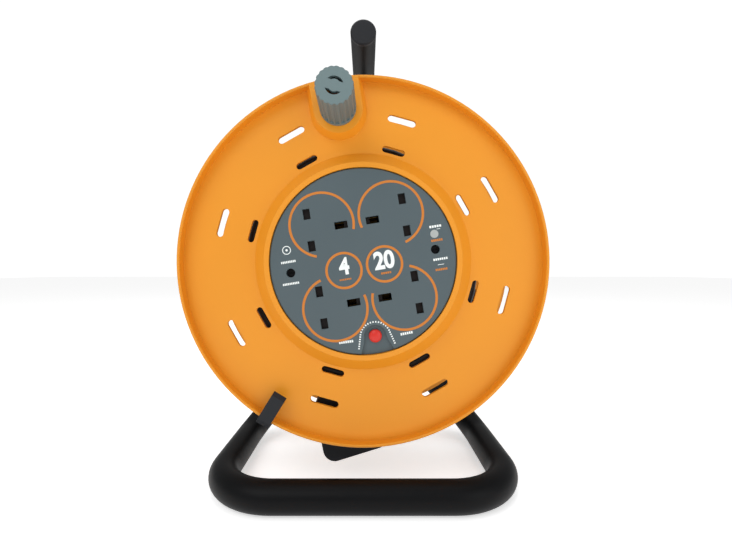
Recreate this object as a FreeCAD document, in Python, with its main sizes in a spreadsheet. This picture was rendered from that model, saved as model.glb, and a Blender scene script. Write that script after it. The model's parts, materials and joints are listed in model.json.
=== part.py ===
import FreeCAD, Part
import math
import os

import Sketcher

# Extension cord reel: a floor stand of bent steel tube with a drum that turns on one axle.
# World frame: X to the right, Y to the back, Z up, origin on the floor under the middle of the reel.
# Drum frame: x to the right, y up, z towards the user, origin where the axle line meets the socket plate's
# front face. "depth" is the distance behind that face.

os.makedirs("parts", exist_ok=True)
doc = FreeCAD.newDocument("cord_reel")
vec = FreeCAD.Vector

DRIVING_SIZES = [
    ("axle_height", 162), ("drum_turn", 9.3),
    ("rim_radius", 128), ("rim_wall", 2), ("rim_lip", 8), ("web_thick", 2.5),
    ("ring_bore", 64.5), ("ring_radius", 68), ("ring_foot", 76), ("ring_proud", 0.8), ("ledge_bore", 57.5),
    ("outer_slot_ring", 102.4), ("outer_slot_long", 20.3), ("outer_slot_wide", 5),
    ("inner_slot_ring", 80.3), ("inner_slot_long", 16.3), ("inner_slot_wide", 4.5), ("slot_phase", 24.7),
    ("rear_radius", 125), ("rear_lip", 7), ("rear_slot_ring", 100.5), ("rear_slot_wide", 6),
    ("winding_width", 69), ("winding_radius", 84), ("cable_radius", 3.3),
    ("cup_radius", 61), ("barrel_radius", 50), ("barrel_wall", 2.5), ("cup_depth", 50),
    ("hub_radius", 12.5), ("hub_front", 58), ("hub_back", 93), ("axle_radius", 8), ("running_gap", 0.05),
    ("plate_radius", 64.2), ("plate_thick", 3), ("skirt_radius", 57.2), ("skirt_bore", 56), ("skirt_depth", 8),
    ("pin_line", 33.1), ("socket_row", 26.9), ("pin_half_pitch", 11.1), ("earth_line", 10.9),
    ("screw_line", 50.2), ("button_line", 51.9), ("button_radius", 4.4),
    ("knob_ring", 106.4), ("knob_radius", 12.5), ("knob_long", 36), ("spindle_radius", 5.9),
    ("clip_angle", 221), ("clip_wide", 9.7),
    ("base_tube_radius", 10.65), ("handle_tube_radius", 9.5), ("tube_wall", 1.5),
    ("front_bar_depth", -18.6), ("rear_depth", 118), ("base_half_width", 100.6), ("grip_height", 330.4),
    ("handle_front", 20), ("bracket_half", 15), ("riser_end_x", 16),
]


class Size:
    """A number together with the spreadsheet formula that gives it."""

    def __init__(self, value, formula):
        self.value = value
        self.formula = formula

    def __add__(self, other):
        other = as_size(other)
        return Size(self.value + other.value, f"({self.formula} + {other.formula})")

    def __sub__(self, other):
        other = as_size(other)
        return Size(self.value - other.value, f"({self.formula} - {other.formula})")

    def __mul__(self, factor):
        factor = as_size(factor)
        return Size(self.value * factor.value, f"({self.formula} * {factor.formula})")

    def __neg__(self):
        return self * -1

    __radd__ = __add__
    __rmul__ = __mul__

    def __rsub__(self, other):
        return as_size(other) - self


def as_size(number):
    return number if isinstance(number, Size) else Size(float(number), f"({float(number)})")


class Sizes:
    """The driving sizes, each one a cell of the spreadsheet."""


sheet = doc.addObject("Spreadsheet::Sheet", "Sizes")
s = Sizes()
for row, (word, number) in enumerate(DRIVING_SIZES, 1):
    sheet.set(f"A{row}", word)
    sheet.set(f"B{row}", str(number))
    sheet.setAlias(f"B{row}", word)
    setattr(s, word, Size(float(number), f"Sizes.{word}"))
doc.recompute()

# Depths of the drum's main faces behind the socket plate's front face.
web_front = s.rim_lip
web_back = web_front + s.web_thick
rear_front = web_back + s.winding_width
rear_back = rear_front + s.web_thick
# The stand's bracket is the rearmost piece and the knob the foremost: the origin lies midway between them.
bracket_back = s.rear_depth + s.bracket_half
front_y = (s.knob_long + 0.4 - bracket_back) * 0.5
plug_depth = as_size(29)

finished = []


# ---------------------------------------------------------------- helpers

def bind(thing, **properties):
    for name, size in properties.items():
        thing.setExpression(name, as_size(size).formula)
    return thing


def stand_at(thing, x, y, z):
    for axis, size in zip("xyz", (x, y, z)):
        thing.setExpression(f"Placement.Base.{axis}", as_size(size).formula)
    return thing


def cylinder(radius, low, high, x=0, y=0):
    thing = bind(doc.addObject("Part::Cylinder", "Round"), Radius=radius, Height=as_size(high) - low)
    return stand_at(thing, x, y, low)


def cone(low_radius, high_radius, low, high, x=0, y=0):
    thing = doc.addObject("Part::Cone", "Cone")
    bind(thing, Radius1=low_radius, Radius2=high_radius, Height=as_size(high) - low)
    return stand_at(thing, x, y, low)


def box(x_range, y_range, z_range):
    lows = [as_size(pair[0]) for pair in (x_range, y_range, z_range)]
    spans = [as_size(pair[1]) - pair[0] for pair in (x_range, y_range, z_range)]
    thing = bind(doc.addObject("Part::Box", "Block"), Length=spans[0], Width=spans[1], Height=spans[2])
    return stand_at(thing, *lows)


def about(centre, half):
    return (as_size(centre) - half, as_size(centre) + half)


def fuse(*things):
    whole = doc.addObject("Part::MultiFuse", "Joined")
    whole.Shapes = list(things)
    return whole


def cut(base, *tools):
    result = doc.addObject("Part::Cut", "Cut")
    result.Base = base
    result.Tool = tools[0] if len(tools) == 1 else fuse(*tools)
    return result


def common(first, second):
    result = doc.addObject("Part::Common", "Shared")
    result.Base = first
    result.Tool = second
    return result


def group(*things):
    whole = doc.addObject("Part::Compound", "Group")
    whole.Links = list(things)
    return whole


def ring(bore, radius, low, high, x=0, y=0):
    return cut(cylinder(radius, low, high, x, y), cylinder(bore, as_size(low) - 1, as_size(high) + 1, x, y))


def turned_about_z(thing, degrees):
    """The thing in a group of its own, turned about the drum axis."""
    whole = group(thing)
    whole.Placement = FreeCAD.Placement(vec(), FreeCAD.Rotation(vec(0, 0, 1), degrees))
    return whole


def polar(thing, count, first, step):
    """Copies of a thing round the drum axis, at clockwise angles from the top."""
    return [turned_about_z(thing, -(first + step * index)) for index in range(count)]


def draw_outline(sketch, corners):
    """A closed outline of straight lines, each corner held by two bound distances from the sketch's origin."""
    points = [vec(as_size(x).value, as_size(y).value) for x, y in corners]
    for index, point in enumerate(points):
        sketch.addGeometry(Part.LineSegment(point, points[(index + 1) % len(points)]))
    for index in range(len(points)):
        sketch.addConstraint(Sketcher.Constraint("Coincident", index, 2, (index + 1) % len(points), 1))
    for index, corner in enumerate(corners):
        for kind, size in zip(("DistanceX", "DistanceY"), corner):
            size = as_size(size)
            number = sketch.addConstraint(Sketcher.Constraint(kind, -1, 1, index, 1, size.value))
            sketch.setExpression(f"Constraints[{number}]", size.formula)


def turned(corners):
    """A PartDesign body turned about z from an outline of (radius, z) corners."""
    body = doc.addObject("PartDesign::Body", "Turned")
    sketch = body.newObject("Sketcher::SketchObject", "TurnedOutline")
    plane = next(feature for feature in body.Origin.OriginFeatures if feature.Role == "XZ_Plane")
    sketch.AttachmentSupport = [(plane, "")]
    sketch.MapMode = "FlatFace"
    draw_outline(sketch, corners)
    doc.recompute()
    revolution = body.newObject("PartDesign::Revolution", "Revolution")
    revolution.Profile = (sketch, [""])
    revolution.ReferenceAxis = (sketch, ["V_Axis"])
    revolution.Angle = 360
    body.Tip = revolution
    doc.recompute()
    return body


def prism(corners, thickness, upright):
    """A plate of the given thickness, half to each side of its sketch; an upright sketch lies in the XZ plane."""
    sketch = doc.addObject("Sketcher::SketchObject", "PlateOutline")
    if upright:
        sketch.Placement = FreeCAD.Placement(vec(), FreeCAD.Rotation(vec(1, 0, 0), 90))
    draw_outline(sketch, corners)
    doc.recompute()
    plate = doc.addObject("Part::Extrusion", "Plate")
    plate.Base = sketch
    plate.DirMode = "Normal"
    plate.Solid = True
    plate.Symmetric = True
    bind(plate, LengthFwd=thickness)
    return plate


def softened(thing, radius, chosen):
    """The thing with a fillet on every edge that the test picks."""
    doc.recompute()
    result = doc.addObject("Part::Fillet", "Softened")
    result.Base = thing
    result.Edges = [(number, radius, radius) for number, edge in enumerate(thing.Shape.Edges, 1) if chosen(edge)]
    return result


def rounded_route(points, radii):
    """Straight runs joined by tangent arcs, one radius for each inner point."""
    edges = []
    start = points[0]
    for before, corner, after, radius in zip(points, points[1:], points[2:], radii):
        inward = (corner - before).normalize()
        outward = (after - corner).normalize()
        half_turn = inward.getAngle(outward) / 2
        reach = radius * math.tan(half_turn)
        arc_start = corner - inward * reach
        arc_end = corner + outward * reach
        to_middle = (outward - inward).normalize()
        arc_middle = corner + to_middle * (radius / math.cos(half_turn) - radius)
        edges.append(Part.LineSegment(start, arc_start).toShape())
        edges.append(Part.Arc(arc_start, arc_middle, arc_end).toShape())
        start = arc_end
    edges.append(Part.LineSegment(start, points[-1]).toShape())
    return Part.Wire(edges)


def cord_radii(points):
    """The largest bend at each inner point of a cord: 0.45 of the shorter run over the tangent of half the turn."""
    radii = []
    for before, corner, after in zip(points, points[1:], points[2:]):
        shorter = min((corner - before).Length, (after - corner).Length)
        radii.append(0.45 * shorter / math.tan((corner - before).getAngle(after - corner) / 2))
    return radii


def swept(route, radius):
    """A solid round bar along a route."""
    first = route.Edges[0]
    section = Part.Wire(Part.makeCircle(radius, first.Vertexes[0].Point, first.tangentAt(first.FirstParameter)))
    pipe = Part.BRepOffsetAPI.MakePipeShell(route)
    pipe.add(section)
    pipe.build()
    pipe.makeSolid()
    return pipe.shape()


def feature(shape):
    thing = doc.addObject("Part::Feature", "Swept")
    thing.Shape = shape
    return thing


def finish(name, thing):
    thing.Label = name
    finished.append(thing)
    return thing


def on_stand(name, thing):
    """A finished piece of the stand, drawn with depth in place of Y."""
    whole = group(thing)
    bind(whole, **{"Placement.Base.y": front_y})
    return finish(name, whole)


def on_drum(name, *things, turn=s.drum_turn):
    """A finished piece of the drum, drawn in the drum frame and turned with it."""
    whole = group(*things)
    stands_up = FreeCAD.Rotation(vec(1, 0, 0), 90)
    spun = FreeCAD.Rotation(vec(0, 0, 1), as_size(turn).value)
    whole.Placement = FreeCAD.Placement(vec(0, front_y.value, s.axle_height.value), stands_up.multiply(spun))
    bind(whole, **{"Placement.Base.y": front_y, "Placement.Base.z": s.axle_height})
    return finish(name, whole)


def rising(first, second):
    """Two heights, the lower one first."""
    return sorted((as_size(first), as_size(second)), key=lambda size: size.value)


def screw(head_radius, face, seat, shank_radius, tip, x, y):
    """A slotted screw whose head runs from its face to its seat, and its shank from the seat to the tip."""
    inward = math.copysign(0.8, as_size(seat).value - as_size(face).value)
    head = cylinder(head_radius, *rising(face, seat), x, y)
    shank = cylinder(shank_radius, *rising(seat, tip), x, y)
    slot = box(about(x, head_radius * 0.7), about(y, 0.4), rising(face, as_size(face) + inward))
    return cut(fuse(head, shank), slot)


# ---------------------------------------------------------------- stand

def base_route():
    floor = s.base_tube_radius.value
    half = s.base_half_width.value
    front = s.front_bar_depth.value
    rear = s.rear_depth.value
    rise = riser_height(s.riser_end_x.value)
    left = [vec(-s.riser_end_x.value, rear, rise), vec(-half, rear, floor), vec(-half, front, floor)]
    right = [vec(-point.x, point.y, point.z) for point in reversed(left)]
    return rounded_route(left + right, [38, 42, 42, 38])


def riser_height(x):
    """Height of the riser's centre line: it climbs inwards from the rear corner, 1.13 up for 1 across."""
    return s.base_tube_radius.value + (s.base_half_width.value - x) * 1.13


def base_tube():
    route = base_route()
    outer = s.base_tube_radius.value
    tube = feature(swept(route, outer).cut(swept(route, outer - s.tube_wall.value)))
    on_stand("base_tube", cut(tube, *[screw_bore(x, z) for x, z in bracket_screw_places() if x != 0]))


def handle_route():
    rear = s.rear_depth.value
    grip = s.grip_height.value
    foot = s.axle_height.value + 14
    points = [vec(0, rear, foot), vec(0, rear, grip), vec(0, s.handle_front.value + 3, grip)]
    return rounded_route(points, [38])


def handle():
    route = handle_route()
    outer = s.handle_tube_radius.value
    tube = feature(swept(route, outer).cut(swept(route, outer - s.tube_wall.value)))
    on_stand("handle_tube", cut(tube, *[screw_bore(x, z) for x, z in bracket_screw_places() if x == 0]))
    bore = s.handle_tube_radius - s.tube_wall
    cap = turned([(0, -14), (bore - 0.05, -14), (bore - 0.05, 0), (s.handle_tube_radius, 0),
                  (s.handle_tube_radius, 2), (s.handle_tube_radius - 1, 3), (0, 3)])
    cap.Placement = FreeCAD.Placement(vec(0, s.handle_front.value + 3, s.grip_height.value),
                                      FreeCAD.Rotation(vec(1, 0, 0), 90))
    bind(cap, **{"Placement.Base.y": s.handle_front + 3, "Placement.Base.z": s.grip_height})
    on_stand("handle_end_cap", cap)


def riser_bar(side, radius):
    """A bar along the upper part of a riser's centre line."""
    inner, outer = s.riser_end_x.value, 60
    low = vec(side * outer, s.rear_depth.value, riser_height(outer))
    high = vec(side * inner, s.rear_depth.value, riser_height(inner))
    return feature(Part.makeCylinder(radius, (high - low).Length, low, high - low))


def lying_cylinder(radius, depth_front, depth_back, x, z):
    """A round bar along the depth direction of the stand."""
    thing = bind(doc.addObject("Part::Cylinder", "Lying"), Radius=radius, Height=as_size(depth_back) - depth_front)
    thing.Placement = FreeCAD.Placement(vec(), FreeCAD.Rotation(vec(1, 0, 0), -90))
    return stand_at(thing, x, depth_front, z)


def bracket_screw_places():
    riser_x = 30
    return [(-riser_x, riser_height(riser_x)), (riser_x, riser_height(riser_x)), (0, s.axle_height.value + 24)]


def screw_bore(x, z):
    return lying_cylinder(1.8, s.rear_depth, bracket_back + 1, x, z)


def axle_bracket():
    half_outline = [(49, 86), (24, 138), (17, 158), (17, 196)]
    corners = half_outline + [(-x, z) for x, z in reversed(half_outline)] + [(-12, 86), (0, 99), (12, 86)]
    plate = prism(corners, s.bracket_half * 2, upright=True)
    plate.Placement.Base = vec(0, s.rear_depth.value, 0)
    bind(plate, **{"Placement.Base.y": s.rear_depth})
    plate = softened(plate, 2.5, lambda edge: abs(edge.tangentAt(edge.FirstParameter).y) > 0.9)
    boss = lying_cylinder(17, 96, s.rear_depth, 0, s.axle_height)
    bores = [riser_bar(side, s.base_tube_radius.value) for side in (-1, 1)]
    bores.append(cylinder(s.handle_tube_radius, s.axle_height + 14, 200, 0, s.rear_depth))
    bores.append(lying_cylinder(s.axle_radius, 90, 130, 0, s.axle_height))
    for x, z in bracket_screw_places():
        bores.append(screw_bore(x, z))
        bores.append(lying_cylinder(4.2, bracket_back - 2.5, bracket_back + 1, x, z))
    on_stand("axle_bracket", cut(fuse(plate, boss), *bores))


def bracket_screws():
    """Three self-tapping screws put in from the back, one into each tube's near wall."""
    screws = []
    for x, z in bracket_screw_places():
        head = lying_cylinder(4, bracket_back - 2.5, bracket_back - 0.2, x, z)
        reach = 7.5 if x == 0 else 9.2
        shank = lying_cylinder(1.75, s.rear_depth + reach, bracket_back - 2.5, x, z)
        slot = box(about(x, 3), (bracket_back - 1, bracket_back), about(z, 0.4))
        screws.append(cut(fuse(head, shank), slot))
    on_stand("bracket_screws", group(*screws))


def axle():
    bar = lying_cylinder(s.axle_radius, 53, 130, 0, s.axle_height)
    groove = cut(lying_cylinder(s.axle_radius + 1, 54.6, 56, 0, s.axle_height),
                 lying_cylinder(s.axle_radius - 1, 50, 60, 0, s.axle_height))
    on_stand("axle", cut(bar, groove))
    washers = [("front_washer", 56.2, s.hub_front - 0.3), ("rear_washer", s.hub_back + 0.3, 95.8)]
    for name, front, back in washers:
        disc = lying_cylinder(15, front, back, 0, s.axle_height)
        on_stand(name, cut(disc, lying_cylinder(s.axle_radius + 0.05, 50, 100, 0, s.axle_height)))
    clip = cut(lying_cylinder(s.axle_radius + 3, 54.7, 55.9, 0, s.axle_height),
               lying_cylinder(s.axle_radius - 1, 50, 60, 0, s.axle_height),
               box(about(0, 3), (50, 60), (s.axle_height - 14, s.axle_height)))
    on_stand("axle_circlip", clip)


# ---------------------------------------------------------------- drum

def slot_cutter(ring_radius, long, wide, low, high):
    """A round-ended slot across the top of a ring."""
    reach = (long - wide) * 0.5
    return fuse(box(about(0, reach), about(ring_radius, wide * 0.5), (low, high)),
                cylinder(wide * 0.5, low, high, reach, ring_radius),
                cylinder(wide * 0.5, low, high, -reach, ring_radius))


def knob_boss(half_width, flare, reach, low, high):
    """A U-shaped block round the knob's foot, open towards the rim; its walls spread by the flare at the low end."""
    spread = half_width + flare
    length = s.rim_radius - s.knob_ring
    straight = doc.addObject("Part::Wedge", "Flared")
    bind(straight, Xmin=-spread, Xmax=spread, X2min=-half_width, X2max=half_width,
         Ymin=low, Ymax=high, Zmin=0, Zmax=length, Z2min=0, Z2max=length)
    straight.Placement = FreeCAD.Placement(vec(), FreeCAD.Rotation(vec(1, 0, 0), 90))
    upright = group(straight)
    upright.Placement = FreeCAD.Placement(vec(), FreeCAD.Rotation(vec(0, 0, 1), 180))
    bind(upright, **{"Placement.Base.y": s.knob_ring})
    return common(fuse(upright, cone(spread, half_width, low, high, 0, s.knob_ring)), cylinder(reach, low, high))


def front_flange():
    rim_bore = s.rim_radius - s.rim_wall
    disc = turned([
        (s.ledge_bore, -web_back), (s.ledge_bore, -s.plate_thick), (s.ring_bore, -s.plate_thick),
        (s.ring_bore, s.ring_proud), (s.ring_radius, s.ring_proud), (s.ring_foot, -web_front),
        (rim_bore, -web_front), (rim_bore, -0.6), (rim_bore + 0.5, 0), (s.rim_radius - 0.5, 0),
        (s.rim_radius, -0.6), (s.rim_radius, -web_back), (s.ring_foot - 1.1, -web_back),
        (s.ring_bore + 2.1, -1.4), (s.ring_bore + 2.1, -5.2), (s.cup_radius + 0.5, -5.2),
        (s.cup_radius + 0.5, -web_back)])
    spindle = cylinder(s.spindle_radius, -s.web_thick, 27.5, 0, s.knob_ring)
    hooks = cut(cone(7.4, 6, 27.3, 31.5, 0, s.knob_ring), box(about(0, 5), about(s.knob_ring, 9), (27, 32)))
    solid = fuse(disc, knob_boss(17, 3, rim_bore + 0.5, -web_front, 0), spindle, hooks)
    tools = [knob_boss(14.5, 3.9, rim_bore - 2.2, -web_back - 1, -s.web_thick)]
    tools.append(cylinder(3.6, -5, 35, 0, s.knob_ring))
    tools += polar(slot_cutter(s.outer_slot_ring, s.outer_slot_long, s.outer_slot_wide, -web_back - 1, 0),
                   8, s.slot_phase.value, 45)
    tools += polar(slot_cutter(s.inner_slot_ring, s.inner_slot_long, s.inner_slot_wide, -web_back - 1, 0),
                   8, s.slot_phase.value, 45)
    on_drum("front_flange", cut(solid, *tools))


def rear_flange():
    bore = s.axle_radius + s.running_gap
    disc = turned([
        (bore, -s.hub_front), (s.hub_radius, -s.hub_front), (s.hub_radius, -rear_front),
        (s.rear_radius, -rear_front), (s.rear_radius, -rear_back - s.rear_lip),
        (s.rear_radius - s.rim_wall, -rear_back - s.rear_lip), (s.rear_radius - s.rim_wall, -rear_back),
        (s.hub_radius + 2, -rear_back), (s.hub_radius + 2, -s.hub_back), (bore, -s.hub_back)])
    tools = polar(slot_cutter(s.rear_slot_ring, s.outer_slot_long, s.rear_slot_wide, -rear_back - 1,
                              1 - rear_front), 6, 60 + s.drum_turn.value, 60)
    tools += [cylinder(1.75, -rear_back - 1, 1 - rear_front, x, y) for x, y in rear_screw_places()]
    on_drum("rear_flange", cut(disc, *tools))


def rear_screw_places():
    reach = (s.barrel_radius.value - 6.2) * math.sqrt(0.5)
    return [(x * reach, y * reach) for x in (-1, 1) for y in (-1, 1)]


def stub_direction():
    """The cable comes into the barrel at this angle from the x axis."""
    return math.radians(150)


def radial_bar(radius, inner, outer, angle, z):
    """A round bar along a radius of the drum."""
    direction = vec(math.cos(angle), math.sin(angle), 0)
    return feature(Part.makeCylinder(radius, outer - inner, direction * inner + vec(0, 0, z), direction))


def drum_barrel():
    floor = s.cup_depth
    shell = turned([
        (s.cup_radius - s.barrel_wall, -web_back), (s.cup_radius, -web_back),
        (s.cup_radius, -floor - s.barrel_wall), (s.barrel_radius, -floor - s.barrel_wall),
        (s.barrel_radius, -rear_front), (s.barrel_radius - s.barrel_wall, -rear_front),
        (s.barrel_radius - s.barrel_wall, -floor - s.barrel_wall), (16, -floor - s.barrel_wall),
        (16, -floor), (s.cup_radius - s.barrel_wall, -floor)])
    pillars = [cylinder(4.2, -floor, -6, side * s.screw_line, 0) for side in (-1, 1)]
    bosses = [cylinder(4.2, -rear_front, -60, x, y) for x, y in rear_screw_places()]
    clamp_feet = [cylinder(3, -floor, -44.7, x, y) for x, y in clamp_screw_places()]
    tools = [cylinder(1.6, -24, -5, side * s.screw_line, 0) for side in (-1, 1)]
    tools += [cylinder(1.75, -rear_front - 1, -64, x, y) for x, y in rear_screw_places()]
    tools += [cylinder(1.25, -52, -44, x, y) for x, y in clamp_screw_places()]
    tools.append(radial_bar(s.cable_radius.value + 0.1, 55, 65, stub_direction(), -45.5))
    on_drum("drum_barrel", cut(fuse(shell, *pillars, *bosses, *clamp_feet), *tools))


def rear_screws():
    screws = [screw(3.6, -rear_back - 2.2, -rear_back, 1.7, -66, x, y) for x, y in rear_screw_places()]
    on_drum("rear_screws", *screws)


def knob():
    top = s.knob_long + 0.4
    body = turned([
        (s.spindle_radius + 0.1, 0.4), (s.knob_radius, 0.4), (s.knob_radius, 3), (s.knob_radius - 0.6, top - 0.5),
        (s.knob_radius - 1.1, top), (0, top), (0, top - 3), (7.9, top - 3), (7.9, 27), (s.spindle_radius + 0.1, 27)])
    flutes = polar(cylinder(1.5, 3.5, top + 1, 0, s.knob_radius + 0.3), 20, 9, 18)
    windows = cut(ring(3.8, 5.7, top - 4, top + 1), box(about(0, 9), about(0, 2.9), (top - 5, top + 2)))
    shaped = cut(body, *flutes, turned_about_z(windows, -25))
    moved = group(shaped)
    bind(moved, **{"Placement.Base.y": s.knob_ring})
    on_drum("knob", moved)


def rim_clip():
    outside = s.rim_radius + 3.6
    back = -web_back - 3
    body = prism([
        (107.3, 0.3), (109.6, 3.4), (s.rim_radius, 3.4), (outside, 1), (outside, back), (114, back),
        (114, back + 2.5), (s.rim_radius + 0.1, back + 2.5), (s.rim_radius + 0.1, 0.3)], s.clip_wide, upright=True)
    holder = bind(doc.addObject("Part::Cylinder", "Holder"), Radius=5.6, Height=s.clip_wide)
    throat = bind(doc.addObject("Part::Cylinder", "Throat"), Radius=3.9, Height=s.clip_wide + 2)
    for thing, start in ((holder, s.clip_wide * 0.5), (throat, s.clip_wide * 0.5 + 1)):
        thing.Placement = FreeCAD.Placement(vec(), FreeCAD.Rotation(vec(1, 0, 0), 90))
        stand_at(thing, 121, start, back - 5)
    mouth = box((108, 119), about(0, 8), about(back - 5.5, 2.4))
    clip = cut(fuse(body, holder), throat, mouth)
    on_drum("rim_clip", turned_about_z(clip, 90 - s.clip_angle.value))


# ---------------------------------------------------------------- socket module

def socket_corners():
    return [(side, row) for side in (-1, 1) for row in (-1, 1)]


def live_places():
    """A live pin is above its socket's middle on the right and below it on the left."""
    return [(side * s.pin_line, row * s.socket_row + side * s.pin_half_pitch) for side, row in socket_corners()]


def neutral_places():
    return [(side * s.pin_line, row * s.socket_row - side * s.pin_half_pitch) for side, row in socket_corners()]


def earth_places():
    return [(side * s.earth_line, row * s.socket_row) for side, row in socket_corners()]


def socket_plate():
    face = turned([(0, -s.plate_thick), (s.plate_radius, -s.plate_thick), (s.plate_radius, -0.8),
                   (s.plate_radius - 0.8, 0), (0, 0)])
    skirt = ring(s.skirt_bore, s.skirt_radius, -s.skirt_depth, -s.plate_thick)
    wells = [cylinder(5.2, -6, -s.plate_thick, side * s.screw_line, 0) for side in (-1, 1)]
    tools = [box(about(x, 2.45), about(y, 3.65), (-4, 1)) for x, y in live_places() + neutral_places()]
    tools += [box(about(x, 4.5), about(y, 2.5), (-4, 1)) for x, y in earth_places()]
    for side in (-1, 1):
        tools.append(cylinder(3.1, -4.5, 1, side * s.screw_line, 0))
        tools.append(cylinder(1.8, -7, -4, side * s.screw_line, 0))
    bell = prism([(-7, -s.button_line + 2), (7, -s.button_line + 2), (8.5, -s.button_line - 4),
                  (12.5, -s.plate_radius - 1), (-12.5, -s.plate_radius - 1), (-8.5, -s.button_line - 4)],
                 2, upright=False)
    bind(bell, **{"Placement.Base.z": -1})
    tools += [bell, cylinder(7.6, -2, 1, 0, -s.button_line)]
    tools.append(cylinder(s.button_radius + 0.1, -4, 1, 0, -s.button_line))
    tools.append(cylinder(7.6, -9, -s.plate_thick, 0, -s.button_line))
    on_drum("socket_plate", cut(fuse(face, skirt, *wells), *tools))


def socket_base():
    block = cylinder(54, -26, -6.7)
    tools = [cylinder(5.8, -27, -6, side * s.screw_line, 0) for side in (-1, 1)]
    tools.append(box(about(0, 10), (-60, -38), (-27, -6)))
    tools += [box(about(x, 3.1), about(y, 3.9), (-27, -6)) for x, y in live_places() + neutral_places()]
    tools += [box(about(x, 4.6), about(y, 3.1), (-27, -6)) for x, y in earth_places()]
    for side, row in socket_corners():
        reach = sorted([side * 16.7, side * 29.9])
        tools.append(box(reach, about(row * s.socket_row, 1.9), (-10.3, -6)))
    on_drum("socket_base", cut(block, *tools))


def pin_clip(x, y, across_x, level):
    """A brass fork that grips one pin between two leaves, with a tail down to its busbar."""
    half_x, half_y = (2.85, 3.6) if across_x else (4.2, 2.85)
    gap_x, gap_y = (2.05, 9) if across_x else (9, 2.05)
    fork = cut(box(about(x, half_x), about(y, half_y), (-24.8, -9.5)),
               box(about(x, gap_x), about(y, gap_y), (-24, -9)))
    return fuse(fork, box(about(x, 1.5), about(y, 1.5), (level, -24.4)))


def strip(x_range, y_range, level):
    return box(x_range, y_range, (level, level + 1))


def pin_contacts(name, places, across_x, level, strips):
    clips = [pin_clip(x, y, across_x, level) for x, y in places]
    on_drum(name, fuse(*clips, *[strip(x_range, y_range, level) for x_range, y_range in strips]))


def all_contacts():
    live = [((35.6, 39.6), (-17.8, 40)), ((-39.6, -35.6), (-40, 17.8)), ((-39.6, 39.6), (-2, 2))]
    live += [(about(x + math.copysign(3.2, x.value), 3.3), about(y, 2)) for x, y in live_places()]
    pin_contacts("live_contacts", live_places(), True, -29, live)
    neutral = [((26.6, 30.6), (-40, 17.8)), ((-30.6, -26.6), (-17.8, 40)), ((-30.6, 30.6), (6, 10))]
    neutral += [(about(x - math.copysign(3.2, x.value), 3.3), about(y, 2)) for x, y in neutral_places()]
    pin_contacts("neutral_contacts", neutral_places(), True, -33, neutral)
    earth = [((side * 10.9 - 2, side * 10.9 + 2), (-28.5, 28.5)) for side in (-1, 1)]
    earth.append(((-12.9, 12.9), (-2, 2)))
    pin_contacts("earth_contacts", earth_places(), False, -37, earth)


def shutters():
    """Each shutter slides inwards when an earth pin pushes its ramp bar, and a spring returns it."""
    names = ["left_low", "left_high", "right_low", "right_high"]
    for name, (side, row) in zip(names, socket_corners()):
        middle = row * s.socket_row
        frame = box(sorted([side * 6.6, side * 29.9]), about(middle, 5.5), (-6.4, -3.3))
        blade = box(sorted([side * 29.8, side * 36.2]), about(middle, 15.2), (-6.4, -3.3))
        peg = box(sorted([side * 28, side * 29.6]), about(middle, 1.4), (-9.6, -6.3))
        window = box(sorted([side * 9, side * 22]), about(middle, 3.2), (-7, -3))
        on_drum(f"shutter_{name}", cut(fuse(frame, blade, peg), window))
        coil = bind(doc.addObject("Part::Cylinder", "Coil"), Radius=1.4, Height=4.6)
        hollow = bind(doc.addObject("Part::Cylinder", "Hollow"), Radius=0.9, Height=6)
        for thing, start in ((coil, 23.35), (hollow, 22.6)):
            thing.Placement = FreeCAD.Placement(vec(), FreeCAD.Rotation(vec(0, 1, 0), 90 * side))
            stand_at(thing, side * start, middle, -8.3)
        on_drum(f"shutter_spring_{name}", cut(coil, hollow))


def plate_screws():
    screws = [screw(2.8, -2.7, -4.5, 1.55, -20, side * s.screw_line, 0) for side in (-1, 1)]
    on_drum("plate_screws", *screws)


def reset_button():
    body = turned([(0, -14), (2.5, -14), (2.5, -5.8), (5, -5.8), (5, -3.3), (s.button_radius, -3.3),
                   (s.button_radius, 0.2), (s.button_radius - 0.8, 1), (s.button_radius - 2.4, 1.6), (0, 1.8)])
    moved = group(body)
    bind(moved, **{"Placement.Base.y": -s.button_line})
    on_drum("reset_button", moved)
    on_drum("reset_spring", ring(2.8, 4.4, -8.9, -5.9, 0, -s.button_line))
    case = box(about(0, 9), (-56.5, -41), (-31, -9))
    on_drum("thermal_cutout", cut(case, cylinder(2.7, -17, -8, 0, -s.button_line)))


# ---------------------------------------------------------------- cable

def clamp_screw_places():
    direction = stub_direction()
    middle = vec(math.cos(direction), math.sin(direction), 0) * 38
    across = vec(-math.sin(direction), math.cos(direction), 0) * 8
    return [((middle - across).x, (middle - across).y), ((middle + across).x, (middle + across).y)]


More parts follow.
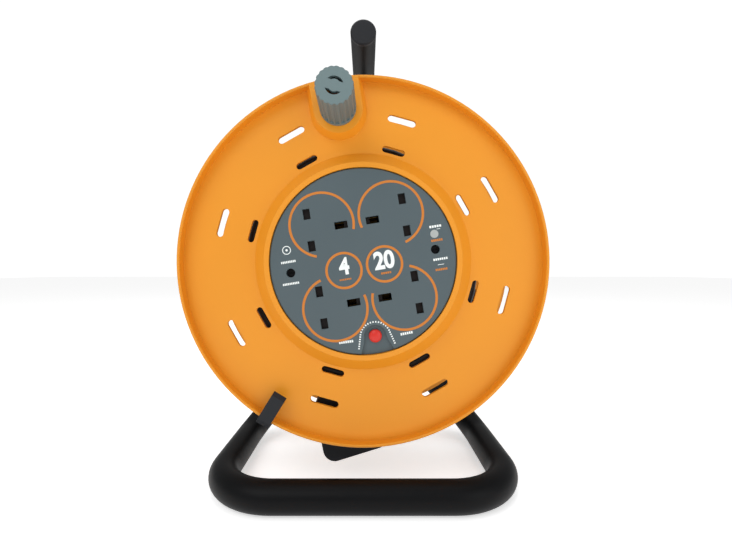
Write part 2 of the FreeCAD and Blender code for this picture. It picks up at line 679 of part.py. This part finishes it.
def cable_entry():
    """The sheathed end of the cable inside the barrel, its clamp and its three cores."""
    angle = stub_direction()
    on_drum("cable_entry", radial_bar(s.cable_radius.value, 27, s.cup_radius.value + 0.2, angle, -45.5))
    degrees = math.degrees(angle)
    bar = box(about(38, 4), about(0, 11.5), (-44.7, -39))
    saddle = cut(bar, box(about(38, 5), about(0, 3.6), (-45, -41.9)))
    for side in (-1, 1):
        saddle = cut(saddle, cylinder(1.4, -46, -38, 38, side * 8))
    on_drum("cable_clamp", turned_about_z(saddle, degrees))
    screws = [screw(2.4, -37.6, -39, 1.2, -50.5, x, y) for x, y in clamp_screw_places()]
    on_drum("clamp_screws", *screws)
    end = vec(math.cos(angle), math.sin(angle), 0) * 27
    side = vec(-math.sin(angle), math.cos(angle), 0)
    cores = {
        "live_core": [end + side * 1.7 + vec(0, 0, -44.5), vec(-17, -10, -44.5), vec(0, -48, -44.5),
                      vec(0, -48, -31)],
        "neutral_core": [end + vec(0, 0, -47.5), vec(-18, 7, -47.5), vec(-18, 7, -33)],
        "earth_core": [end - side * 1.7 + vec(0, 0, -44.3), vec(0, 0, -44.3), vec(0, 0, -37)],
    }
    for name, points in cores.items():
        on_drum(name, feature(swept(rounded_route(points, cord_radii(points)), 1.3)))


def cable_winding():
    gap = 0.2
    edge = 3
    body = turned([
        (s.cup_radius + gap, -web_back - gap), (s.winding_radius - edge, -web_back - gap),
        (s.winding_radius, -web_back - gap - edge), (s.winding_radius, -rear_front + gap + edge),
        (s.winding_radius - edge, -rear_front + gap), (s.barrel_radius + gap, -rear_front + gap),
        (s.barrel_radius + gap, -s.cup_depth - s.barrel_wall - gap),
        (s.cup_radius + gap, -s.cup_depth - s.barrel_wall - gap)])
    on_drum("cable_winding", body)


def plug_axis():
    """The plug lies along this direction, from its cable end to its earth end."""
    tilt = math.radians(12.5)
    return vec(-math.cos(tilt), -math.sin(tilt), 0)


def plug_foot():
    """Middle of the plug's cable end."""
    return vec(14.7, -112.8, -plug_depth.value)


def tail_points():
    relief_end = plug_foot() - plug_axis() * 18
    last_bend = relief_end - plug_axis() * 24
    return [vec(79, 15.4, -74), vec(91, -22, -62), vec(90, -60, -47), vec(80, -86, -35), last_bend, relief_end]


def cable_tail():
    points = tail_points()
    radii = cord_radii(points)
    route = rounded_route(points, radii)
    tube = swept(route, s.cable_radius.value)
    expected = math.pi * s.cable_radius.value ** 2 * route.Length
    print("cable tail bend radii", [round(radius, 1) for radius in radii], "length", round(route.Length, 1),
          "volume ratio", round(tube.Volume / expected, 4))
    on_drum("cable_tail", feature(tube), turn=0)


def in_plug_frame(thing):
    """Stands a thing drawn with x from the plug's cable end to its earth end on the drum."""
    whole = group(thing)
    whole.Placement = FreeCAD.Placement(plug_foot(), FreeCAD.Rotation(vec(0, 0, 1), 192.5))
    return whole


def plug():
    """A three-pin plug, pins to the back: its cover faces the front disc."""
    half_thick = 12
    outline = prism([(0, -20.5), (48, -24.5), (48, 24.5), (0, 20.5)], half_thick * 2, upright=False)
    body = softened(outline, 8.5, lambda edge: abs(edge.tangentAt(edge.FirstParameter).z) > 0.9)
    pin_holes = [box(about(15.3, 2), about(side * s.pin_half_pitch, 3.2), (-half_thick - 1, -half_thick + 9))
                 for side in (-1, 1)]
    earth_hole = box(about(37.5, 4), about(0, 2), (-half_thick - 1, -half_thick + 9))
    fuse_side = box((11, 33), about(0, 3.6), (-half_thick - 1, -half_thick + 8.6))
    on_drum("plug_body", in_plug_frame(cut(body, *pin_holes, earth_hole, fuse_side)), turn=0)
    back = -half_thick - 17.7
    pins = {
        "plug_pin_live": box(about(15.3, 2), about(-s.pin_half_pitch, 3.2), (back, -half_thick + 9)),
        "plug_pin_neutral": box(about(15.3, 2), about(s.pin_half_pitch, 3.2), (back, -half_thick + 9)),
        "plug_pin_earth": box(about(37.5, 4), about(0, 2), (back - 5, -half_thick + 9)),
    }
    for name, pin in pins.items():
        on_drum(name, in_plug_frame(pin), turn=0)
    fuse_link = bind(doc.addObject("Part::Cylinder", "Link"), Radius=3.1, Height=19)
    fuse_link.Placement = FreeCAD.Placement(vec(), FreeCAD.Rotation(vec(0, 1, 0), 90))
    stand_at(fuse_link, 12.5, 0, -half_thick + 5)
    on_drum("plug_fuse", in_plug_frame(fuse_link), turn=0)
    carrier = box((11.2, 32.8), about(0, 3.4), (-half_thick, -half_thick + 1.6))
    on_drum("fuse_carrier", in_plug_frame(carrier), turn=0)
    relief = bind(doc.addObject("Part::Cone", "Relief"), Radius1=6.5, Radius2=4.3, Height=18)
    relief.Placement = FreeCAD.Placement(vec(), FreeCAD.Rotation(vec(0, 1, 0), -90))
    on_drum("plug_strain_relief", in_plug_frame(relief), turn=0)


base_tube()
handle()
axle_bracket()
bracket_screws()
axle()
front_flange()
drum_barrel()
rear_flange()
rear_screws()
knob()
rim_clip()
socket_plate()
socket_base()
all_contacts()
shutters()
plate_screws()
reset_button()
cable_entry()
cable_winding()
cable_tail()
plug()

doc.recompute()
for thing in doc.Objects:
    if "Invalid" in thing.State or "Error" in thing.State:
        raise SystemExit(f"{thing.Name} {thing.Label} is {thing.State}")
for thing in finished:
    shape = thing.Shape
    if shape.isNull() or not shape.isValid():
        raise SystemExit(f"{thing.Label} has no valid shape")
    shape.exportStep(f"parts/{thing.Label}.step")
    print(f"{thing.Label:28s} solids {len(shape.Solids)}  volume {shape.Volume / 1000:9.3f} cm3")
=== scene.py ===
import json
import math
import random

import bmesh
import bpy
from mathutils import Matrix, Vector


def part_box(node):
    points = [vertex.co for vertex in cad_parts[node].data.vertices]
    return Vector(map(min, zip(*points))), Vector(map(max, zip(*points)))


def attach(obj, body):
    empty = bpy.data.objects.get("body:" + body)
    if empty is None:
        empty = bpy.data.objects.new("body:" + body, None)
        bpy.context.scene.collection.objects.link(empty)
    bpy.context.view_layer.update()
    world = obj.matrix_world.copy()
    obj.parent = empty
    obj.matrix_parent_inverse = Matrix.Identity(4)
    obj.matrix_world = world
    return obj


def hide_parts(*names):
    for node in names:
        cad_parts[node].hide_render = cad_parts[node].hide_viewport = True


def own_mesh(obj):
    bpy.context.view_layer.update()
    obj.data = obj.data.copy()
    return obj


# The looks of an extension cord reel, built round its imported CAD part.
# The drum frame is in millimetres: x to the right and y up across the socket panel, and depth behind
# the panel's front face. The cord is laid in it unturned, and what is on the panel turns with the drum.

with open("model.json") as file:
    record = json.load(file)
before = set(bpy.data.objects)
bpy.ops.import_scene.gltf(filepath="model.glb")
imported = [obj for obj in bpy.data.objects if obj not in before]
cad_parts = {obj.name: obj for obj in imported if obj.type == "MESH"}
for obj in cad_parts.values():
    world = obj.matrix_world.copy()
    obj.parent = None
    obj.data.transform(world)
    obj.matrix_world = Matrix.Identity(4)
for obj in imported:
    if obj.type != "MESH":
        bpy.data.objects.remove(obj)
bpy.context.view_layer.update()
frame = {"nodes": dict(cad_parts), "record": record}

MM = 0.001
NODES = frame["nodes"]
FRONT_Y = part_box("socket_plate")[0].y
AXLE_Z = (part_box("front_flange")[0].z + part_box("front_flange")[1].z) / 2
DRUM_TURN = math.radians(9.3)
CORD_RADIUS = 3.3


# ---------------------------------------------------------------- camera and cord

def make_camera():
    """Close to the reel at socket height and looking straight along +Y, so circles stay round."""
    data = bpy.data.cameras.new("camera")
    data.sensor_width = 36
    data.lens = 20.9
    data.shift_y = -0.0089
    camera = bpy.data.objects.new("camera", data)
    bpy.context.collection.objects.link(camera)
    camera.location = (0.002, FRONT_Y - 0.291, 0.157)
    camera.rotation_euler = (math.radians(90), 0, 0)
    bpy.context.scene.camera = camera


def on_drum(x, y, depth, turn=0.0):
    """A point of the drum frame, in millimetres, as a point of the world."""
    across = x * math.cos(turn) - y * math.sin(turn)
    up = x * math.sin(turn) + y * math.cos(turn)
    return Vector((across * MM, FRONT_Y + depth * MM, AXLE_Z + up * MM))


# Each layer of the winding: radius of the cord's centre, depth where it starts, depth where it ends, how far
# it dips on the right, where it was wound slack, and the angle in degrees where it leaves for the next layer.
# The first three fill the barrel's narrow rear end.
LAYERS = [(64.5, 45.5, 56, 0, 120), (53.6, 58, 75.6, 0, 250), (59.2, 75.6, 57, 0, 40), (64.9, 57, 14.2, 0, 170),
          (70.6, 14.2, 75.6, 0.8, 300), (76.3, 75.6, 14, 2.8, 62), (82, 14, 75.6, 6, 11)]
POINTS_PER_TURN = 14
COIL_PITCH = 6.96
ENTRY_ANGLE = math.radians(159.3)
EXIT_ANGLE = math.radians(11)
DIP_ANGLE = math.radians(27)
DIP_WIDTH = math.radians(27)
UNEVEN = 0.25
WANDER = 0.3
# How much of the way to a new layer's radius the cord climbs from one point to the next.
CLIMB = 0.35
# A smooth curve runs a little inside its control points, and this puts it back on its radius.
BULGE = 1 / (0.75 + 0.25 * math.cos(2 * math.pi / POINTS_PER_TURN))
PLUG_TILT = math.radians(12.5)
PLUG_FOOT = (14.7, -112.8, 29)


def plug_line(distance):
    """A point on the line the cord follows into the plug, this far from the plug's face."""
    x, y, depth = PLUG_FOOT
    return (x + distance * math.cos(PLUG_TILT), y + distance * math.sin(PLUG_TILT), depth)


def winding_points():
    """The turns, laid from flange to flange and back, clockwise as seen from the front."""
    rng = random.Random(7)
    step = 2 * math.pi / POINTS_PER_TURN
    places = []
    for radius, first, last, dip, leaves_at in LAYERS:
        count = round(abs(last - first) / COIL_PITCH * POINTS_PER_TURN)
        for index in range(count):
            places.append((radius, first + (last - first) * index / count, dip))
        angle = ENTRY_ANGLE - step * (len(places) + 4)
        waits = 4 + round((angle - math.radians(leaves_at)) % (2 * math.pi) / step)
        places += [(radius, last, dip)] * waits
    turn_left = (ENTRY_ANGLE - EXIT_ANGLE) % (2 * math.pi)
    whole_turns = round(len(places) * step / (2 * math.pi))
    step = (turn_left + whole_turns * 2 * math.pi) / len(places)
    points = [on_drum(61 * math.cos(ENTRY_ANGLE), 61 * math.sin(ENTRY_ANGLE), 45.5)]
    smooth_radius = LAYERS[0][0]
    for index, (radius, depth, dip) in enumerate(places):
        smooth_radius += (radius - smooth_radius) * CLIMB
        angle = ENTRY_ANGLE - step * (index + 0.6)
        off_dip = math.remainder(angle - DIP_ANGLE, 2 * math.pi) / DIP_WIDTH
        reach = (smooth_radius + rng.uniform(-UNEVEN, UNEVEN)) * BULGE - dip * math.exp(-off_dip ** 2)
        wander = rng.uniform(-WANDER, WANDER)
        points.append(on_drum(reach * math.cos(angle), reach * math.sin(angle), depth + wander))
    return points


def tail_points():
    """The loose end: off the winding at the right, down behind the front disc and into the plug."""
    route = [(79, 15.4, 74), (91, -22, 62), (90, -60, 47), (80, -86, 35)]
    route += [plug_line(42), plug_line(18), plug_line(4)]
    return [on_drum(*place) for place in route]


def make_cord():
    """The whole cord as one smooth curve, from the barrel to the plug."""
    points = winding_points() + tail_points()
    data = bpy.data.curves.new("cable", "CURVE")
    data.dimensions = "3D"
    spline = data.splines.new("NURBS")
    spline.points.add(len(points) - 1)
    for target, point in zip(spline.points, points):
        target.co = (*point, 1)
    spline.order_u = 3
    spline.use_endpoint_u = True
    data.resolution_u = 4
    data.bevel_depth = CORD_RADIUS * MM
    data.bevel_resolution = 4
    data.use_fill_caps = True
    cable = bpy.data.objects.new("cable", data)
    bpy.context.collection.objects.link(cable)
    return cable


make_camera()
cable = make_cord()


# ---------------------------------------------------------------- materials

def node(tree, kind, **values):
    """A shader node with some of its inputs set; an underscore in a name stands for a space."""
    made = tree.nodes.new(kind)
    for name, value in values.items():
        made.inputs[name.replace("_", " ")].default_value = value
    return made


def linear(red, green, blue):
    """A colour given in screen values from 0 to 255, as linear light."""
    def one(value):
        value /= 255
        return value / 12.92 if value <= 0.04045 else ((value + 0.055) / 1.055) ** 2.4
    return (one(red), one(green), one(blue), 1)


def material(name, colour, rough, metallic=0.0, grain=900, bump=0.05, tint=0.06, edge=0.35, gloss=0.5,
             glow=0.0):
    """A procedural finish: faint clouds in the colour, uneven sheen, moulding grain and softened edges."""
    made = bpy.data.materials.new(name)
    made.use_nodes = True
    tree = made.node_tree
    tree.nodes.clear()
    output = tree.nodes.new("ShaderNodeOutputMaterial")
    shader = node(tree, "ShaderNodeBsdfPrincipled", Metallic=metallic)
    shader.inputs["Specular IOR Level"].default_value = gloss
    shader.inputs["Emission Color"].default_value = colour
    shader.inputs["Emission Strength"].default_value = glow
    where = tree.nodes.new("ShaderNodeTexCoord")
    clouds = node(tree, "ShaderNodeTexNoise", Scale=26, Detail=4)
    fine = node(tree, "ShaderNodeTexNoise", Scale=grain, Detail=3)
    mix = tree.nodes.new("ShaderNodeMix")
    mix.data_type = "RGBA"
    mix.inputs["A"].default_value = tuple(part * (1 - tint) for part in colour[:3]) + (1,)
    mix.inputs["B"].default_value = tuple(min(1, part * (1 + tint)) for part in colour[:3]) + (1,)
    sheen = tree.nodes.new("ShaderNodeMapRange")
    sheen.inputs["To Min"].default_value = rough - 0.05
    sheen.inputs["To Max"].default_value = rough + 0.05
    rounded = tree.nodes.new("ShaderNodeBevel")
    rounded.samples = 4
    rounded.inputs["Radius"].default_value = edge * MM
    relief = node(tree, "ShaderNodeBump", Strength=bump, Distance=0.0002)
    join = tree.links.new
    join(where.outputs["Object"], clouds.inputs["Vector"])
    join(where.outputs["Object"], fine.inputs["Vector"])
    join(clouds.outputs["Fac"], mix.inputs["Factor"])
    join(mix.outputs["Result"], shader.inputs["Base Color"])
    join(clouds.outputs["Fac"], sheen.inputs["Value"])
    join(sheen.outputs["Result"], shader.inputs["Roughness"])
    join(fine.outputs["Fac"], relief.inputs["Height"])
    join(rounded.outputs["Normal"], relief.inputs["Normal"])
    join(relief.outputs["Normal"], shader.inputs["Normal"])
    join(shader.outputs["BSDF"], output.inputs["Surface"])
    return made


FINISHES = {
    "orange_plastic": material("orange_plastic", linear(224, 144, 28), 0.48, tint=0.03, gloss=0.4),
    "slate_plastic": material("slate_plastic", linear(73, 87, 92), 0.5, tint=0.05),
    "knob_plastic": material("knob_plastic", linear(101, 120, 122), 0.5, tint=0.05),
    "black_plastic": material("black_plastic", linear(30, 32, 36), 0.5, tint=0.15, gloss=0.25),
    "black_steel": material("black_steel", linear(8, 9, 11), 0.46, grain=1800, bump=0.12, tint=0.15,
                            gloss=0.12),
    "zinc_steel": material("zinc_steel", linear(190, 192, 196), 0.3, metallic=1.0, tint=0.1),
    "brass": material("brass", linear(205, 168, 92), 0.28, metallic=1.0, tint=0.12),
    # Painted shade: the white plastic parts get a near-black colour instead of white, standing in for the shade
    # they are seen in.
    "white_plastic": material("white_plastic", linear(30, 25, 24), 0.6, tint=0.1, gloss=0.2),
    "fuse_ceramic": material("fuse_ceramic", linear(225, 220, 205), 0.4, tint=0.05),
    "red_plastic": material("red_plastic", linear(204, 34, 18), 0.38, tint=0.04),
    "cable_sheath": material("cable_sheath", linear(20, 20, 22), 0.45, grain=1500, bump=0.08, tint=0.2,
                             gloss=0.3),
    "brown_core": material("brown_core", linear(96, 58, 32), 0.45),
    "blue_core": material("blue_core", linear(40, 90, 190), 0.45),
    "green_core": material("green_core", linear(110, 170, 50), 0.45),
}
PRINT_WHITE = material("print_white", linear(232, 238, 236), 0.6, tint=0.03, edge=0.02)
PRINT_ORANGE = material("print_orange", linear(196, 116, 34), 0.6, tint=0.04, edge=0.02)
PRINT_GREY = material("print_grey", linear(165, 170, 168), 0.6, tint=0.04, edge=0.02)


def dress(thing, finish):
    """The finish as the thing's only material."""
    thing.data.materials.clear()
    thing.data.materials.append(finish)


# Painted shade: the socket contacts wear a brass far darker than the brass finish, standing in for the shade
# inside the socket holes.
BRASS_PAINTED_SHADE = material("brass_painted_shade", linear(92, 70, 34), 0.5, metallic=1.0, tint=0.12)
OWN_FINISH_AND_PAINTED_SHADE = {"live_contacts": BRASS_PAINTED_SHADE, "neutral_contacts": BRASS_PAINTED_SHADE, "earth_contacts": BRASS_PAINTED_SHADE,
              "plate_screws": FINISHES["black_steel"]}


def dress_cad():
    """Every CAD node wears the finish of its slot in the record, apart from the socket contacts, which wear a
    much darker brass as painted shade, and the plate screws, which wear black steel.
    """
    for part in frame["record"]["subparts"]:
        dress(NODES[part["node"]], OWN_FINISH_AND_PAINTED_SHADE.get(part["node"], FINISHES[part["material_slot"]]))


dress_cad()
dress(cable, FINISHES["cable_sheath"])
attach(cable, "drum")
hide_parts("cable_winding", "cable_tail")


# ---------------------------------------------------------------- printing on the socket panel

PANEL = (Matrix.Translation((0, FRONT_Y, AXLE_Z)) @ Matrix.Rotation(math.radians(90), 4, "X")
         @ Matrix.Rotation(DRUM_TURN, 4, "Z"))
INK_LOW = 0.02
INK_HIGH = 0.07


def band(centre, radius, width, start, end):
    """Short boxes that make an arc of ink, angles in degrees."""
    count = max(6, int(abs(end - start) / 4))
    corners = []
    for index in range(count + 1):
        angle = math.radians(start + (end - start) * index / count)
        ray = Vector((math.cos(angle), math.sin(angle)))
        inner, outer = radius - width / 2, radius + width / 2
        corners.append((Vector(centre) + ray * inner, Vector(centre) + ray * outer))
    return [[a[0], a[1], b[1], b[0]] for a, b in zip(corners, corners[1:])]


def dot(centre, radius):
    """A filled round spot of ink."""
    rim = [Vector(centre) + Vector((math.cos(a), math.sin(a))) * radius
           for a in (2 * math.pi * k / 32 for k in range(32))]
    return [rim]


def bar(centre, length, width, turn=0.0):
    """A straight stroke of ink, turned by some degrees."""
    along = Vector((math.cos(math.radians(turn)), math.sin(math.radians(turn)))) * (length / 2)
    across = Vector((-along.y, along.x)).normalized() * (width / 2)
    middle = Vector(centre)
    low, high = middle - across, middle + across
    return [[low - along, low + along, high + along, high - along]]


def blocks(centre, count, wide, high, gap, turn=0.0):
    """A row of plain blocks where the real panel has small words."""
    direction = Vector((math.cos(math.radians(turn)), math.sin(math.radians(turn))))
    shapes = []
    for index in range(count):
        offset = (index - (count - 1) / 2) * (wide + gap)
        shapes += bar(Vector(centre) + direction * offset, wide, high, turn)
    return shapes


def ink(name, shapes, finish):
    """Thin printed shapes on the panel, drawn in millimetres."""
    mesh = bmesh.new()
    for outline in shapes:
        low = [mesh.verts.new((p.x * MM, p.y * MM, INK_LOW * MM)) for p in outline]
        high = [mesh.verts.new((p.x * MM, p.y * MM, INK_HIGH * MM)) for p in outline]
        mesh.faces.new(high)
        mesh.faces.new(list(reversed(low)))
        for index in range(len(outline)):
            following = (index + 1) % len(outline)
            mesh.faces.new([low[index], low[following], high[following], high[index]])
    bmesh.ops.recalc_face_normals(mesh, faces=mesh.faces)
    data = bpy.data.meshes.new(name)
    mesh.to_mesh(data)
    mesh.free()
    thing = bpy.data.objects.new(name, data)
    bpy.context.collection.objects.link(thing)
    thing.matrix_world = PANEL
    dress(thing, finish)
    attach(thing, "drum")
    return thing


def numeral(name, text, centre, height):
    """Bold white figures, centred on a point of the panel."""
    data = bpy.data.curves.new(name, "FONT")
    data.body = text
    data.size = height * MM * 1.39
    data.offset = height * MM * 0.052
    data.extrude = 0.02 * MM
    data.align_x = "CENTER"
    data.align_y = "CENTER"
    data.space_character = 0.98
    thing = bpy.data.objects.new(name, data)
    bpy.context.collection.objects.link(thing)
    middle = Matrix.Translation((centre[0] * MM, centre[1] * MM, 0.05 * MM))
    thing.matrix_world = PANEL @ middle @ Matrix.Diagonal((0.86, 1, 1, 1))
    dress(thing, PRINT_WHITE)
    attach(thing, "drum")


def print_panel():
    """The loops round the sockets, the two badges and the rows of blocks in place of words."""
    loops = []
    for side in (-1, 1):
        for row in (-1, 1):
            ends = [row * -72, row * 197] if side > 0 else [180 + row * 72, 180 - row * 197]
            ends.sort()
            loops += band((side * 24, row * 29.2), 22, 1.7, *ends)
    badges = band((-13.9, -4.2), 12, 1.7, 0, 360) + band((14.2, -4.2), 12, 1.7, 0, 360)
    ink("socket_loops", loops + badges, PRINT_ORANGE)
    small_orange = blocks((-13.9, -10.4), 7, 0.9, 1.1, 0.3) + blocks((14.3, -10.4), 5, 1.1, 1.4, 0.35)
    small_orange += blocks((52.2, 6.1), 6, 1.0, 1.6, 0.35) + blocks((52.1, -14.1), 7, 0.9, 1.5, 0.3)
    ink("small_orange_print", small_orange, PRINT_ORANGE)
    small_white = blocks((52.6, 15.6), 5, 1.3, 1.6, 0.4) + blocks((52.5, -7), 7, 1.1, 1.5, 0.35)
    small_white += bar((52.2, -10.8), 4.4, 0.35) + bar((54.4, 13.6), 2.4, 0.35)
    small_white += blocks((-50.6, 7.7), 9, 0.85, 1.5, 0.3) + blocks((-51.2, -7.3), 10, 0.85, 1.5, 0.3)
    small_white += blocks((-20.4, -52.7), 7, 1.1, 1.7, 0.35, -2) + blocks((21.4, -53.5), 6, 1.1, 1.7, 0.35, 2)
    small_white += band((-50.5, 15.8), 2.7, 0.55, 0, 360) + dot((-50.5, 15.8), 0.8)
    for index in range(13):
        angle = 28 + index * 124 / 12
        ray = Vector((math.cos(math.radians(angle)), math.sin(math.radians(angle))))
        place = Vector((0, -52.6)) + ray * 10.4
        small_white += bar(place, 0.9, 1.1, angle - 90)
    for side in (-1, 1):
        for index in range(7):
            place = Vector((side * (9.9 + 0.42 * index), -49.4 - 1.55 * index))
            small_white += bar(place, 0.9, 1.1, -side * 74)
    ink("small_white_print", small_white, PRINT_WHITE)
    ink("wind_dot", dot((51.2, 10.6), 2.8), PRINT_GREY)
    numeral("figure_sockets", "4", (-13.4, -1.9), 11.2)
    numeral("figure_metres", "20", (14.3, -2.1), 11.8)


print_panel()


# ---------------------------------------------------------------- plug's strain relief

def lathe(name, profile, start, direction, finish, sides=40):
    """A turned piece: (distance, radius) pairs in millimetres along a direction from a start point."""
    mesh = bmesh.new()
    rings = []
    for distance, radius in profile:
        rings.append([mesh.verts.new((math.cos(2 * math.pi * k / sides) * radius * MM,
                                      math.sin(2 * math.pi * k / sides) * radius * MM, distance * MM))
                      for k in range(sides)])
    for first, second in zip(rings, rings[1:]):
        for k in range(sides):
            mesh.faces.new([first[k], first[(k + 1) % sides], second[(k + 1) % sides], second[k]])
    mesh.faces.new(list(reversed(rings[0])))
    mesh.faces.new(rings[-1])
    data = bpy.data.meshes.new(name)
    mesh.to_mesh(data)
    mesh.free()
    for face in data.polygons:
        face.use_smooth = len(face.vertices) == 4
    thing = bpy.data.objects.new(name, data)
    bpy.context.collection.objects.link(thing)
    thing.matrix_world = Matrix.Translation(start) @ direction.to_track_quat("Z", "Y").to_matrix().to_4x4()
    dress(thing, finish)
    return thing


def make_relief():
    """A tapered sleeve with ribs, from the plug's face along the cord."""
    profile = [(0, 6.6), (3, 6.4)]
    for index in range(6):
        at = 3.5 + index * 2.7
        outer = 6.2 - index * 0.32
        profile += [(at, outer - 0.9), (at + 0.7, outer - 0.9), (at + 1.1, outer), (at + 2.2, outer - 0.1)]
    profile += [(20.2, 4.0), (22, 3.8)]
    start = on_drum(*plug_line(-0.3))
    relief = lathe("plug_relief", profile, start, (on_drum(*plug_line(20)) - start).normalized(),
                   FINISHES["black_plastic"])
    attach(relief, "drum")
    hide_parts("plug_strain_relief")
    return relief


relief = make_relief()


# ---------------------------------------------------------------- reset button's spring

def make_reset_coil():
    """The button's coil spring, built as a fixed coil at rest; the real one shortens against the cut-out as the
    button goes in.
    """
    turns = 3
    wire = 0.3
    low, high = 8.9 - wire, 5.9 + wire
    count = turns * 16
    points = []
    for index in range(count + 1):
        angle = 2 * math.pi * index * turns / count
        depth = low + (high - low) * index / count
        points.append(on_drum(3.6 * math.cos(angle), -51.9 + 3.6 * math.sin(angle), depth, DRUM_TURN))
    data = bpy.data.curves.new("reset_wire", "CURVE")
    data.dimensions = "3D"
    spline = data.splines.new("POLY")
    spline.points.add(count)
    for target, point in zip(spline.points, points):
        target.co = (*point, 1)
    data.bevel_depth = wire * MM
    data.bevel_resolution = 2
    data.use_fill_caps = True
    wire_path = bpy.data.objects.new("reset_wire", data)
    coil = bpy.data.objects.new("reset_coil", bpy.data.meshes.new_from_object(wire_path))
    bpy.data.objects.remove(wire_path)
    bpy.context.collection.objects.link(coil)
    dress(coil, FINISHES["zinc_steel"])
    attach(coil, "drum")
    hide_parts("reset_spring")
    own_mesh(coil)


make_reset_coil()


# ---------------------------------------------------------------- stage

def area_light(name, place, aim, size, power):
    data = bpy.data.lights.new(name, "AREA")
    data.shape = "RECTANGLE"
    data.size, data.size_y = size
    data.energy = power
    light = bpy.data.objects.new(name, data)
    bpy.context.collection.objects.link(light)
    light.location = place
    light.rotation_euler = (Vector(aim) - Vector(place)).to_track_quat("-Z", "Y").to_euler()


def make_stage():
    """A pale floor that runs into a white backdrop, with soft light from the front, the side and above."""
    bpy.ops.mesh.primitive_plane_add(size=12, location=(0, 2, 0))
    floor = bpy.context.object
    floor.name = "floor"
    paper = material("floor_paper", (0.9, 0.9, 0.9, 1), 0.9, grain=60, bump=0.02, tint=0.01, edge=0.1, gloss=0,
                     glow=0.62)
    dress(floor, paper)
    bpy.context.scene.view_settings.view_transform = "Standard"
    world = bpy.data.worlds.new("studio")
    bpy.context.scene.world = world
    world.use_nodes = True
    tree = world.node_tree
    backdrop = tree.nodes["Background"]
    seen = tree.nodes.new("ShaderNodeLightPath")
    strength = tree.nodes.new("ShaderNodeMapRange")
    strength.inputs["To Min"].default_value = 0.42
    strength.inputs["To Max"].default_value = 1.05
    backdrop.inputs["Color"].default_value = (1, 1, 1, 1)
    tree.links.new(seen.outputs["Is Camera Ray"], strength.inputs["Value"])
    tree.links.new(strength.outputs["Result"], backdrop.inputs["Strength"])
    area_light("key", (-0.7, -1.1, 1.3), (0, 0, 0.15), (1.2, 0.9), 10)
    area_light("fill", (1.0, -1.0, 0.6), (0, 0, 0.15), (1.0, 1.0), 5)
    area_light("top", (0, 0.1, 1.5), (0, 0, 0.2), (1.2, 1.2), 6)


make_stage()
